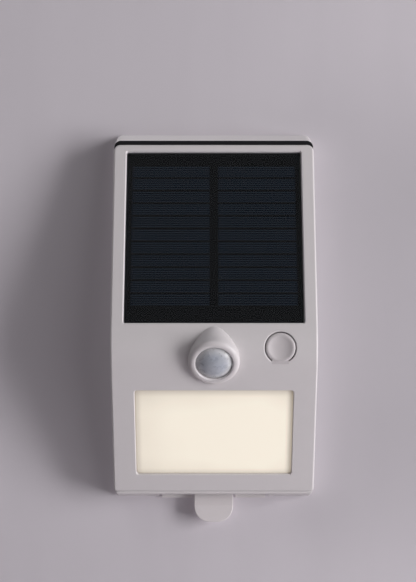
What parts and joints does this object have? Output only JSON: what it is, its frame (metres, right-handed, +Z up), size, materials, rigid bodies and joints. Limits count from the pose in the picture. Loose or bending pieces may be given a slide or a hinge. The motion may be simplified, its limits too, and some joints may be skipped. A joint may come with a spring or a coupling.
{
  "type": "solar wall light",
  "caption": "Wedge-shaped outdoor light with a solar panel above, a lit window below, a domed motion sensor between them, a push button and a clip-on wall bracket.",
  "frame": {"origin": "middle of the wall bracket's two screw holes, on the wall plane", "axes": "+Z up the wall, -Y out from the wall towards the viewer, +X to the right as seen from the front"},
  "size_m": [0.104, 0.0538, 0.2052],
  "materials": {
    "white_case": "moulded satin",
    "white_bracket": "moulded satin",
    "white_button": "moulded satin",
    "black_seal": "soft matte",
    "boot_rubber": "soft matte",
    "panel_film": "clear gloss",
    "silicon": "dark blue-black with fine lines",
    "panel_black": "satin black",
    "warm_diffuser": "satin translucent",
    "white_reflector": "gloss white",
    "led_package": "yellow phosphor",
    "board_white": "white solder mask",
    "board_green": "green solder mask",
    "board_components": "black moulded",
    "connector_nylon": "natural nylon",
    "frosted_lens": "frosted translucent",
    "sensor_can": "plated",
    "switch_black": "black moulded",
    "plated_steel": "zinc plated",
    "battery_wrap": "blue shrink sleeve",
    "foam": "closed-cell foam",
    "nickel": "nickel strip",
    "lead_sleeve": "PVC sleeve"
  },
  "bodies": {
    "bracket": {"wall_bracket": "white_bracket"},
    "tongue": {"release_tongue": "white_bracket"},
    "lamp": {"back_shell": "white_case", "shell_gasket": "black_seal", "front_shell": "white_case", "panel_cover": "panel_film", "solar_cells": "silicon", "panel_backing": "panel_black", "panel_seal_tape": "black_seal", "led_diffuser": "warm_diffuser", "diffuser_seal": "black_seal", "led_reflector": "white_reflector", "leds": "led_package", "led_board": "board_white", "led_board_screws": "plated_steel", "sensor_lens": "frosted_lens", "lens_seal_ring": "black_seal", "lens_retainer": "white_case", "pyro_sensor": "sensor_can", "button_membrane": "boot_rubber", "tact_switch": "switch_black", "main_board": "board_green", "board_parts": "board_components", "board_screws": "plated_steel", "wire_connectors": "connector_nylon", "battery_cell": "battery_wrap", "battery_pad": "foam", "battery_strap": "white_case", "strap_screws": "plated_steel", "battery_tabs": "nickel", "panel_leads": "lead_sleeve", "battery_leads": "lead_sleeve", "led_leads": "lead_sleeve", "case_screws": "plated_steel"},
    "button": {"mode_button": "white_button"},
    "plunger": {"switch_plunger": "switch_black"}
  },
  "joints": [
    {"name": "lamp_lift", "type": "slide", "parent": "bracket", "child": "lamp", "axis": [0, 0, 1], "range_m": [0, 0.012], "deforming": ["release_tongue"]},
    {"name": "tongue_press", "type": "hinge", "parent": "bracket", "child": "tongue", "pos_m": [0, -0.0005, -0.062], "axis": [1, 0, 0], "range_deg": [0, 6.5], "stiffness_Nm_per_rad": 1.35},
    {"name": "button_press", "type": "hinge", "parent": "lamp", "child": "button", "pos_m": [0.033, -0.04274, -0.0232], "axis": [-1, 0, 0], "range_deg": [0, 2.3], "stiffness_Nm_per_rad": 0.45, "deforming": ["button_membrane"]},
    {"name": "plunger_press", "type": "slide", "parent": "lamp", "child": "plunger", "axis": [0, 1, 0], "range_m": [0, 0.00036]}
  ],
  "couplings": [
    {"joint": "plunger_press", "follows": "button_press", "m_per_rad": 0.00825}
  ]
}
